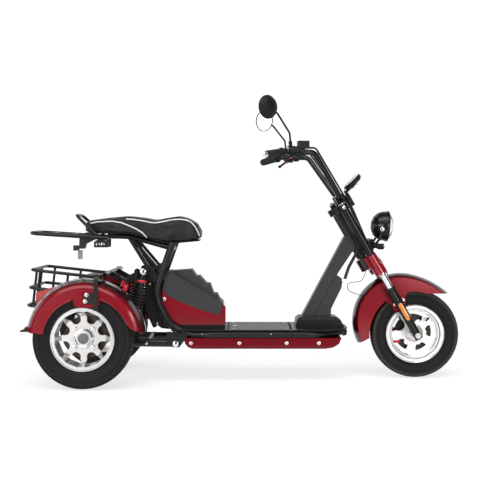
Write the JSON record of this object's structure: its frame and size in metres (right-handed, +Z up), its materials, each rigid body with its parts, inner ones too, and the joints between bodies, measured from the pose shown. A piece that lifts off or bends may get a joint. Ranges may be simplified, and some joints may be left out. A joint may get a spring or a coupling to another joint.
{
  "type": "electric cargo tricycle",
  "caption": "Step-through electric tricycle with a sprung fork, a flat deck, a padded saddle, wire basket, luggage rack and mirrors.",
  "frame": {"origin": "on the ground under the centre of the bounding box", "axes": "+X forward, +Y to the rider's left, +Z up"},
  "size_m": [2.0099, 0.826, 1.2985],
  "materials": {
    "grey_frame": "satin",
    "red_metal": "satin",
    "black_metal": "satin",
    "red_plastic": "gloss",
    "black_plastic": "matte",
    "grey_plastic": "matte",
    "steel": "brushed",
    "aluminium": "satin",
    "red_spring": "gloss",
    "red_lens": "gloss",
    "seat_leather": "grained",
    "deck_mat": "textured",
    "chrome": "polished",
    "black_rubber": "matte",
    "mirror": "mirror",
    "lens": "clear",
    "amber_lens": "gloss",
    "tyre": "matte"
  },
  "bodies": {
    "frame": {"main_frame": "black_metal", "seat_subframe": "black_metal", "neck": "grey_frame", "belly_pan": "red_plastic", "battery_pack": "black_plastic", "footboard": "black_plastic", "nose_cover": "black_plastic", "fairing": "red_plastic", "fairing_cover": "grey_plastic", "rear_shell": "black_plastic", "swing_arm": "black_metal", "pivot_plates": "black_metal", "rear_axle": "black_metal", "drive_motor": "aluminium", "shocks": "black_metal", "springs": "red_spring", "rear_fender_right": "red_plastic", "rear_fender_left": "red_plastic", "fender_stays": "black_metal", "tail_lamps": "red_lens", "cargo_basket": "black_metal", "basket_brackets": "black_metal", "top_rack": "black_metal", "grab_hoop": "black_metal", "seat_lock": "black_metal", "seat_pan": "black_plastic", "seat": "seat_leather", "frame_loom": "black_rubber"},
    "deck_lid": {"deck_lid": "deck_mat"},
    "steering": {"fork_sliders": "black_metal", "fork_stanchions": "chrome", "fork_covers": "black_metal", "lower_clamp": "red_metal", "top_clamp": "black_metal", "handlebar": "black_metal", "grips": "black_rubber", "bar_ends": "chrome", "bar_controls": "black_plastic", "brake_levers": "black_metal", "mirrors": "black_plastic", "mirror_glass": "mirror", "display": "black_plastic", "headlight": "black_plastic", "headlight_lens": "lens", "headlight_bracket": "black_metal", "turn_signals": "black_plastic", "fork_reflectors": "amber_lens", "front_fender": "red_plastic", "front_caliper": "red_metal", "front_axle": "steel", "looms": "black_rubber"},
    "front_wheel": {"front_tyre": "tyre", "front_rim": "aluminium", "front_disc": "steel"},
    "rear_wheel_right": {"rear_tyre_right": "tyre", "rear_rim_right": "aluminium", "rear_disc_right": "steel"},
    "rear_wheel_left": {"rear_tyre_left": "tyre", "rear_rim_left": "aluminium", "rear_disc_left": "steel"}
  },
  "joints": [
    {"name": "steering", "type": "hinge", "parent": "frame", "child": "steering", "pos_m": [0.77029, 0, 0.191], "axis": [-0.5, 0, 0.866], "range_deg": [-38, 38]},
    {"name": "front_wheel_spin", "type": "hinge", "parent": "steering", "child": "front_wheel", "pos_m": [0.798, 0, 0.207], "axis": [0, 1, 0], "continuous": true},
    {"name": "rear_wheel_right_spin", "type": "hinge", "parent": "frame", "child": "rear_wheel_right", "pos_m": [-0.717, -0.322, 0.222], "axis": [0, 1, 0], "continuous": true},
    {"name": "rear_wheel_left_spin", "type": "hinge", "parent": "frame", "child": "rear_wheel_left", "pos_m": [-0.717, 0.322, 0.222], "axis": [0, 1, 0], "continuous": true},
    {"name": "deck_lid_hinge", "type": "hinge", "parent": "frame", "child": "deck_lid", "pos_m": [0.206, 0, 0.2385], "axis": [0, 1, 0], "range_deg": [0, 80]}
  ]
}
